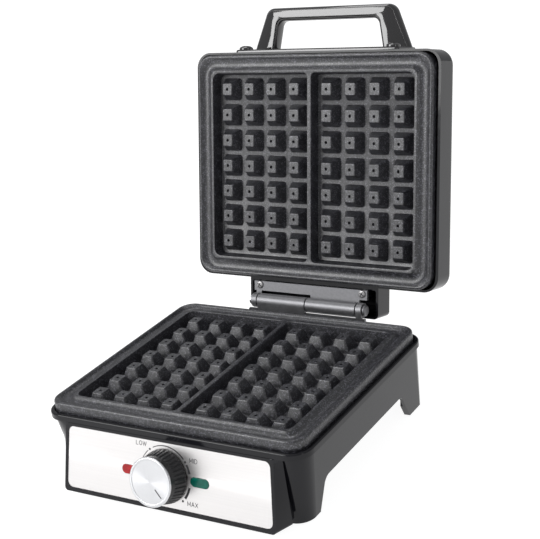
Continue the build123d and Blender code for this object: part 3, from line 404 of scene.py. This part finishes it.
def field_wall(shell, side):
    """Wall and floor of one waffle field; returns the vertices where it meets the crest."""
    # how far the crest's rounded edge has come in, how much less its corners are, and its height
    edge = (
        (0.0, 0.0, CREST), (0.32, 0.3, CREST - 0.07), (0.6, 0.5, CREST - 0.45), (0.72, 0.6, CREST - 1.0),
    )
    field = [
        (DIVIDER + inset * 0.9, CAVITY_X - EDGE - inset * 0.6, CAVITY_Y - EDGE - inset * 0.6, less, z)
        for inset, less, z in edge
    ]
    # the drafted wall's foot, rounded into the floor: near side, way in from the draft, less, height
    foot = ((2.55, 0.05, 1.6, 1.0), (2.85, 0.35, 1.8, 0.3), (3.6, 1.1, 2.2, 0.0))
    for near, way_in, less, height in foot:
        reach = DRAFT + way_in
        field.append((near, CAVITY_X - reach, CAVITY_Y - reach, less, height - STUD_HEIGHT))
    loops = []
    for near, far, half_y, less, z in field:
        outer_corner, inner_corner = FIELD_CORNER - less, DIVIDER_CORNER - less * 0.6
        corners = (outer_corner, inner_corner, inner_corner, outer_corner)
        if side < 0:
            corners = (inner_corner, outer_corner, outer_corner, inner_corner)
        centre = (side * (near + far) / 2, 0)
        loops.append(rounded_ring((far - near) / 2, half_y, corners, z, centre))
    top, _ = shell.stack(loops, start_cap=False)
    return top


def cast_plate(name, node, seat, body):
    """The whole casting: two walled waffle fields, crest, overflow groove, rim and skirt."""
    shell = Shell()
    # outer edge of the crest: way in from the groove's middle, less on its corners, depth
    rings = [
        rounded_ring(GROOVE_X - inset, GROOVE_Y - inset, GROOVE_CORNER - less, CREST - depth)
        for inset, less, depth in ((5.62, 5.3, 0.04), (5.3, 5.2, 0.28))
    ]
    steps = 14
    for step in range(1, steps):
        out = GROOVE_HALF * (2 * step / steps - 1) * 0.94
        depth = math.sqrt(GROOVE_RADIUS**2 - out * out) - (GROOVE_RADIUS - GROOVE_DEPTH)
        rings.append(rounded_ring(GROOVE_X + out, GROOVE_Y + out, GROOVE_CORNER + out, CREST - depth))
    # rounded rim and skirt: way in from the rim, less on its corners, height above the crest
    rim = (
        (2.7, 2.5, -0.32), (2.2, 2.2, -0.05), (1.7, 1.7, 0.0), (1.1, 1.1, -0.1),
        (0.5, 0.5, -0.5), (0.12, 0.1, -1.15), (0.0, 0.0, -2.0), (0.0, 0.0, 0.9 - SKIRT),
        (0.3, 0.3, 0.25 - SKIRT), (1.0, 1.0, -SKIRT),
    )
    for inset, less_corner, drop in rim:
        rings.append(rounded_ring(RIM_X - inset, RIM_Y - inset, RIM_CORNER - less_corner, CREST + drop))
    for z in (CREST - SKIRT, -STUD_HEIGHT - FLOOR_THICKNESS):
        rings.append(rounded_ring(RIM_X - RIM_WALL, RIM_Y - RIM_WALL, RIM_CORNER - 3, z))
    crest_edge, _ = shell.stack(rings, start_cap=False)
    holes = [field_wall(shell, side) for side in (-1, 1)]
    edges = []
    for loop in (crest_edge, *holes):
        for first, second in zip(loop, loop[1:] + loop[:1]):
            edges.append(shell.mesh.edges.get((first, second)))
    bmesh.ops.triangle_fill(shell.mesh, use_beauty=True, edges=edges)
    for x in COLUMNS:
        for y in ROWS:
            shell.stack(stud_rings(x, y))
    piece(name, shell, seat, body, NONSTICK, (node,), sharp=30)


cast_plate("lower_cast_plate", "lower_plate", LOWER_SEAT, "base")
cast_plate("upper_cast_plate", "upper_plate", UPPER_SEAT, "lid")


# ---- dial print on the steel ----
ROUND_LETTER = [
    (0.38 + 0.38 * math.cos(i * math.pi / 6), 0.5 + 0.5 * math.sin(i * math.pi / 6)) for i in range(13)
]
LETTERS = {
    "L": [[(0, 1), (0, 0), (0.58, 0)]],
    "O": [ROUND_LETTER],
    "W": [[(0, 1), (0.26, 0), (0.5, 0.85), (0.74, 0), (1, 1)]],
    "M": [[(0, 0), (0, 1), (0.4, 0.25), (0.8, 1), (0.8, 0)]],
    "I": [[(0, 0), (0, 1)]],
    "D": [[(0, 0), (0, 1), (0.35, 1), (0.62, 0.82), (0.7, 0.5), (0.62, 0.18), (0.35, 0), (0, 0)]],
    "A": [[(0, 0), (0.38, 1), (0.76, 0)], [(0.14, 0.34), (0.62, 0.34)]],
    "X": [[(0, 0), (0.7, 1)], [(0, 1), (0.7, 0)]],
}
LETTER_WIDTHS = {"L": 0.58, "O": 0.76, "W": 1.0, "M": 0.8, "I": 0.0, "D": 0.7, "A": 0.76, "X": 0.7}
INK_LOW, INK_HIGH = 0.01, 0.05
DOT_RADIUS, PRINT_RADIUS = 0.85, 22.3
LETTER_HEIGHT, LETTER_STROKE, LETTER_GAP = 3.1, 0.42, 0.95


def stroke(shell, points, width):
    """A flat line of ink along the points, mitred at its bends."""
    path = [Vector(point) for point in points]
    closed = (path[0] - path[-1]).length < 1e-6
    left, right = [], []
    for i, point in enumerate(path):
        before = point - path[i - 1] if i else (path[-1] - path[-2] if closed else path[1] - path[0])
        after = path[i + 1] - point if i + 1 < len(path) else (path[1] - path[0] if closed else before)
        before, after = before.normalized(), after.normalized()
        normal = Vector((-before.y - after.y, before.x + after.x)).normalized()
        reach = width / 2 / max(0.35, normal.dot(Vector((-before.y, before.x))))
        left.append(point + normal * reach)
        right.append(point - normal * reach)
    rings = [
        [(*a, INK_LOW), (*b, INK_LOW), (*b, INK_HIGH), (*a, INK_HIGH)] for a, b in zip(left, right)
    ]
    shell.stack(rings)


def clock_point(radius, degrees):
    """A point on the panel, by its angle clockwise from the top."""
    turn = math.radians(degrees)
    return radius * math.sin(turn), radius * math.cos(turn)


def arc(shell, start, end, start_width, end_width):
    """A line of ink around the dial that grows from one width to another."""
    steps = max(4, int(abs(end - start) / 3))
    rings = []
    for step in range(steps + 1):
        share = step / steps
        half = (start_width + (end_width - start_width) * share) / 2
        inner = clock_point(PRINT_RADIUS - half, start + (end - start) * share)
        outer = clock_point(PRINT_RADIUS + half, start + (end - start) * share)
        rings.append([(*inner, INK_LOW), (*outer, INK_LOW), (*outer, INK_HIGH), (*inner, INK_HIGH)])
    shell.stack(rings)


def dial_print():
    """Arcs that thicken towards the hot end, three dots and their words."""
    shell = Shell()
    # word, clock angle of its dot, middle of the word
    marks = (("LOW", -36.0, (-20.8, 21.4)), ("MID", 54.0, (25.2, 15.0)), ("MAX", 134.7, (24.4, -16.8)))
    arc(shell, -100, -41, 0.2, 0.6)
    arc(shell, -28, 48, 0.6, 1.1)
    arc(shell, 59.5, 77, 1.6, 1.8)
    arc(shell, 103, 127, 1.8, 2.0)
    for word, angle, middle in marks:
        dot = clock_point(PRINT_RADIUS, angle)
        shell.stack([circle_ring(DOT_RADIUS, z, 24, dot) for z in (INK_LOW, INK_HIGH)])
        widths = [LETTER_WIDTHS[letter] * LETTER_HEIGHT for letter in word]
        start = middle[0] - (sum(widths) + LETTER_GAP * (len(word) - 1)) / 2
        foot = middle[1] - LETTER_HEIGHT / 2
        for letter, width in zip(word, widths):
            for line in LETTERS[letter]:
                points = [(start + x * LETTER_HEIGHT, foot + y * LETTER_HEIGHT) for x, y in line]
                stroke(shell, points, LETTER_STROKE)
            start += width + LETTER_GAP
    piece("dial_print", shell, PANEL, "base", INK_AND_SHADE)


dial_print()


# ---- knob ----
RIBS = 38
GRIP_FOOT, GRIP_NECK = 20.1, 18.0
RIB_TOP, NECK_TOP, KNOB_TOP, KNOB_LOW = 11.4, 16.4, 18.0, 0.8
CAP_RADIUS, FACE_RADIUS, CAP_POINTS = 18.2, 15.8, 128
POINTER_START, POINTER_END, POINTER_HALF = 6.3, 14.3, 0.36
POINTER = math.radians(135)


def ribbed_ring(radius, z, depth):
    """A circle with shallow round grooves between its ribs."""
    steps = 8
    ring = []
    for i in range(RIBS * steps):
        turn = 2 * math.pi * i / (RIBS * steps)
        groove = max(0.0, math.cos(turn * RIBS)) ** 0.7
        reach = radius - depth * groove
        ring.append((reach * math.cos(turn), reach * math.sin(turn), z))
    return ring


def knob_grip():
    """Tapering grip with its ribs, and a smooth neck above them."""
    grip = Shell()
    taper = (GRIP_FOOT - GRIP_NECK) / (RIB_TOP - KNOB_LOW)
    rings = [
        ribbed_ring(GRIP_FOOT - 5, KNOB_LOW + 0.4, 0),
        ribbed_ring(GRIP_FOOT - 4.4, KNOB_LOW, 0),
        ribbed_ring(GRIP_FOOT - 0.5, KNOB_LOW, 0.3),
    ]
    # height, way in from the taper, depth of the grooves
    for z, trim, depth in ((1.0, 0.12, 0.6), (1.5, 0.0, 0.8), (10.4, 0.0, 0.8), (11.0, 0.1, 0.5)):
        rings.append(ribbed_ring(GRIP_FOOT - taper * (z - KNOB_LOW) - trim, z, depth))
    for trim, z in ((0.3, RIB_TOP), (0.34, RIB_TOP + 0.3), (0.34, NECK_TOP)):
        rings.append(ribbed_ring(GRIP_NECK - trim, z, 0.0))
    grip.stack(rings)
    piece("ribbed_grip", grip, PANEL, "knob", KNOB_BLACK, ("knob_grip",), sharp=50)


def knob_cap():
    """Turned metal cap with a rounded rim and a slightly dished face."""
    cap = Shell()
    profile = (
        (CAP_RADIUS - 0.2, NECK_TOP), (CAP_RADIUS, NECK_TOP + 0.15), (CAP_RADIUS, KNOB_TOP - 1.0),
        (CAP_RADIUS - 0.1, KNOB_TOP - 0.6), (CAP_RADIUS - 0.4, KNOB_TOP - 0.25),
        (CAP_RADIUS - 0.8, KNOB_TOP - 0.05), (CAP_RADIUS - 1.2, KNOB_TOP), (FACE_RADIUS + 0.25, KNOB_TOP),
        (FACE_RADIUS + 0.05, KNOB_TOP - 0.1), (FACE_RADIUS, KNOB_TOP - 0.35),
        (FACE_RADIUS - 4, KNOB_TOP - 0.38), (4.0, KNOB_TOP - 0.45), (0.6, KNOB_TOP - 0.47),
    )
    cap.stack([circle_ring(radius, z, CAP_POINTS) for radius, z in profile])
    piece("turned_cap", cap, PANEL, "knob", SPUN, ("knob_cap",), sharp=40)


def pointer_line():
    """The dark line across the outer part of the cap's face."""
    line = Shell()
    along = Vector((math.sin(POINTER), math.cos(POINTER), 0))
    across = Vector((along.y, -along.x, 0))
    rings = []
    for drop, trim in ((0.5, 0.0), (0.3, 0.0), (0.26, 0.08)):
        start, end, half = POINTER_START + trim, POINTER_END - trim, POINTER_HALF - trim
        height = Vector((0, 0, KNOB_TOP - drop))
        corners = ((start, -half), (end, -half), (end, half), (start, half))
        rings.append([along * reach + across * side + height for reach, side in corners])
    line.stack(rings)
    piece("pointer_line", line, PANEL, "knob", INK_AND_SHADE)


knob_grip()
knob_cap()
pointer_line()


# ---- screws of the hinge strip ----
STRIP_SCREW_X, STRIP_FRONT = 49.4, 0.5
CROSS_HALF, CROSS_ARM_HALF, CROSS_TURN = 2.1, 0.42, 0.5


def strip_screws():
    """Low domed heads on the strip below the plate, each with a dark cross block that paints the shade of a cross
    recess.
    """
    heads, recess_shade = Shell(), Shell()
    box_low, box_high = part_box("lid_hinge_screws")
    middle = (Vector(box_low) + Vector(box_high)) / 2
    screw_y = (LID.inverted() @ middle).y / MM
    # radius and height from the strip, which is negative towards the viewer
    profile = (
        (3.2, 0.0), (3.2, -0.6), (3.08, -0.85), (2.7, -1.05), (2.0, -1.2), (1.0, -1.28), (0.1, -1.3),
    )
    for x in (-STRIP_SCREW_X, STRIP_SCREW_X):
        heads.stack([circle_ring(r, STRIP_FRONT + z, 32, (x, screw_y)) for r, z in profile])
        # painted shade: a dark ink cross on each head stands in for the shadowed inside of its recess
        for turn in (CROSS_TURN, CROSS_TURN + math.pi / 2):
            along = Vector((math.cos(turn), math.sin(turn), 0)) * CROSS_HALF
            across = Vector((-math.sin(turn), math.cos(turn), 0)) * CROSS_ARM_HALF
            rings = []
            for z in (STRIP_FRONT - 0.6, STRIP_FRONT - 1.33):
                centre = Vector((x, screw_y, z))
                sides = ((-1, -1), (1, -1), (1, 1), (-1, 1))
                rings.append([centre + along * a + across * b for a, b in sides])
            recess_shade.stack(rings)
    stands_for = ("lid_hinge_screws",)
    piece("strip_screw_heads", heads, LID, "lid", SCREW_STEEL, stands_for, sharp=50)
    piece("strip_screw_recess_shade", recess_shade, LID, "lid", INK_AND_SHADE)


strip_screws()


# ---- handle ----
SHELL_TOP = 95.8
LOOP_FOOT_HALF, LOOP_TOP_HALF, LOOP_FOOT, LOOP_RISE, LOOP_CORNER = 75.5, 60.3, 0.4, 37.5, 9.5
OPENING_FOOT_HALF, OPENING_TOP_HALF, OPENING_FOOT, OPENING_RISE, OPENING_CORNER = 51.3, 47.0, 2.3, 26.2, 6.0
LEG_TILT, LEG_START, LEG_LEAN = 0.17, 55.0, 0.13
FACE_LIMIT = 32.0              # below this height a point belongs to the loop's front face
STRIP_HALF, STRIP_HALF_DEPTH, STRIP_CORNER, STRIP_MIDDLE = 77.0, 17.0, 3.0, 23.0


def trapezoid_ring(foot_half, foot, top_half, top, corner, z):
    """A trapezoid standing on its longer side, its upper corners rounded; up is the local -Y."""
    ring = [(foot_half, -foot, z)]
    slope = Vector((top_half - foot_half, top - foot)).normalized()
    bend = math.acos(max(-1.0, min(1.0, slope.dot(Vector((-1, 0))))))
    reach = corner * math.tan(bend / 2)
    start = Vector((top_half, top)) - slope * reach
    normal = Vector((slope.y, -slope.x))
    middle = start - normal * corner
    turn = math.atan2(normal.y, normal.x)
    steps = 10
    right = []
    for step in range(steps + 1):
        angle = turn + (math.pi / 2 - turn) * step / steps
        right.append((middle.x + corner * math.cos(angle), middle.y + corner * math.sin(angle)))
    ring += [(x, -u, z) for x, u in right]
    ring += [(-x, -u, z) for x, u in right[::-1]]
    ring.append((-foot_half, -foot, z))
    return ring


def loop_outline(inset, z):
    """Outside of the carrying loop."""
    return trapezoid_ring(
        LOOP_FOOT_HALF - inset * 1.05,
        SHELL_TOP + LOOP_FOOT,
        LOOP_TOP_HALF - inset * 0.8,
        SHELL_TOP + LOOP_RISE - inset,
        LOOP_CORNER - inset * 0.7,
        z,
    )


def opening_outline(grow, z):
    """The loop's opening."""
    return trapezoid_ring(
        OPENING_FOOT_HALF + grow,
        SHELL_TOP + OPENING_FOOT,
        OPENING_TOP_HALF + grow * 0.9,
        SHELL_TOP + OPENING_RISE + grow,
        OPENING_CORNER + grow * 0.6,
        z,
    )


def lean_leg(x, y, z):
    """Lets the front faces of the loop's legs lean away to either side."""
    if z < FACE_LIMIT:
        z += LEG_TILT * max(0.0, abs(x) - LEG_START + LEG_LEAN * (-y - SHELL_TOP))
    return x, y, z


def handle_loop():
    """The carrying loop: a bevelled trapezoid frame, grooved round its front face."""
    loop = Shell()
    outside = (
        (3.0, 40.0), (1.6, 39.6), (0.5, 38.6), (0.1, 37.2), (0.0, 35.5), (0.35, 31.6), (0.55, 30.9),
        (1.0, 30.3), (2.1, 29.2), (2.3, 29.3), (2.6, 29.3), (2.8, 28.75), (6.6, 28.08),
    )
    inside = (
        (3.1, 28.0), (2.5, 28.1), (1.9, 28.9), (1.5, 28.95), (0.9, 29.3), (0.4, 30.0), (0.0, 32.0),
        (0.0, 37.5), (0.6, 39.2), (2.0, 40.0),
    )
    rings = [loop_outline(inset, z) for inset, z in outside]
    rings += [opening_outline(grow, z) for grow, z in inside]
    rings = [[lean_leg(*point) for point in ring] for ring in rings]
    first, last = loop.stack(rings, start_cap=False, end_cap=False)
    loop.bridge(last, first)
    piece("carrying_handle", loop, LID, "lid", HANDLE_GLOSS, ("handle",), sharp=28)


def handle_strip():
    """The strip on the lid's edge that the loop stands on."""
    foot, rings = Shell(), []
    for up, inset in ((0.0, 0.0), (1.0, 0.0), (1.6, 0.15), (2.05, 0.45), (2.3, 1.0)):
        flat = rounded_ring(
            STRIP_HALF - inset, STRIP_HALF_DEPTH - inset, STRIP_CORNER, 0.0, (0, STRIP_MIDDLE), 5
        )
        rings.append([(x, -(SHELL_TOP + up), z) for x, z, _ in flat])
    foot.stack(rings)
    piece("handle_foot_strip", foot, LID, "lid", HANDLE_GLOSS, sharp=28)


handle_loop()
handle_strip()


# ---- stage, lights and camera ----
FLOOR_HALF, FLOOR_CORNER, FLOOR_THICK, FLOOR_GLOW = 9000, 2000, 0.6, 0.93
SURROUNDINGS = 0.5             # strength of the pale surroundings


def stage_floor():
    """A wide pale floor with a slight mottle, running out of sight."""
    shell = Shell()
    shell.stack([rounded_ring(FLOOR_HALF, FLOOR_HALF, FLOOR_CORNER, z) for z in (-FLOOR_THICK, 0.0)])
    shell.mesh.transform(Matrix.Scale(MM, 4))
    mesh = bpy.data.meshes.new("floor")
    shell.mesh.to_mesh(mesh)
    shell.mesh.free()
    floor = bpy.data.objects.new("floor", mesh)
    bpy.context.scene.collection.objects.link(floor)
    sockets = {"Roughness": 0.8, "Specular_IOR_Level": 0.1, "Emission_Strength": FLOOR_GLOW}
    material, tree, shader = new_material("floor", **sockets)
    shader.inputs["Emission Color"].default_value = (1, 1, 1, 1)
    vector = object_coordinates(tree)
    colour = blend_colours(tree, noise(tree, vector, 2.0), (0.24, 0.24, 0.242), (0.27, 0.27, 0.27))
    tree.links.new(colour, shader.inputs["Base Color"])
    mesh.materials.append(material)


def area_light(name, position, target, size, power):
    """A white rectangular softbox aimed at a target, its size in metres and its power in watts."""
    light = bpy.data.lights.new(name, "AREA")
    light.shape = "RECTANGLE"
    light.size, light.size_y = size
    light.energy = power
    made = bpy.data.objects.new(name, light)
    bpy.context.scene.collection.objects.link(made)
    made.location = position
    aim = Vector(target) - Vector(position)
    made.rotation_mode = "QUATERNION"
    made.rotation_quaternion = aim.to_track_quat("-Z", "Y")


def studio():
    """Pale surroundings, a high key, a low card for the steel, a top light and a side strip."""
    world = bpy.data.worlds.new("studio")
    world.use_nodes = True
    background = world.node_tree.nodes["Background"]
    background.inputs["Color"].default_value = (0.97, 0.98, 1.0, 1)
    background.inputs["Strength"].default_value = SURROUNDINGS
    bpy.context.scene.world = world
    middle = (0, 0, 0.12)
    area_light("key", (-1.02, -1.39, 1.2), middle, (1.1, 1.1), 31)
    area_light("card", (-1.1, -1.75, 0.28), middle, (2.2, 0.8), 5.4)
    area_light("top", (-0.6, 0.55, 1.75), middle, (1.2, 0.6), 7)
    area_light("side", (1.6, -0.68, 0.66), middle, (0.22, 0.7), 1.7)


CAMERA_PLACE = (0.5278, plate_y - 0.6989, 0.4810)
CAMERA_YAW, CAMERA_PITCH, CAMERA_ROLL = -0.6034, 0.3707, 0.15765
SENSOR_MM, LENS_MM = 36.0, 83.86


def camera():
    """The camera, turned a little about its own axis, as the object stands slightly tilted in view."""
    ahead = Vector((
        math.sin(CAMERA_YAW) * math.cos(CAMERA_PITCH),
        math.cos(CAMERA_YAW) * math.cos(CAMERA_PITCH),
        -math.sin(CAMERA_PITCH),
    ))
    right = ahead.cross(Vector((0, 0, 1))).normalized()
    down = ahead.cross(right)
    level_right = math.cos(CAMERA_ROLL) * right + math.sin(CAMERA_ROLL) * down
    data = bpy.data.cameras.new("camera")
    data.sensor_width = SENSOR_MM
    data.lens = LENS_MM
    made = bpy.data.objects.new("camera", data)
    bpy.context.scene.collection.objects.link(made)
    made.matrix_world = placed(CAMERA_PLACE, level_right, -ahead)
    bpy.context.scene.camera = made


stage_floor()
studio()
camera()
bpy.context.scene.view_settings.view_transform = "Standard"
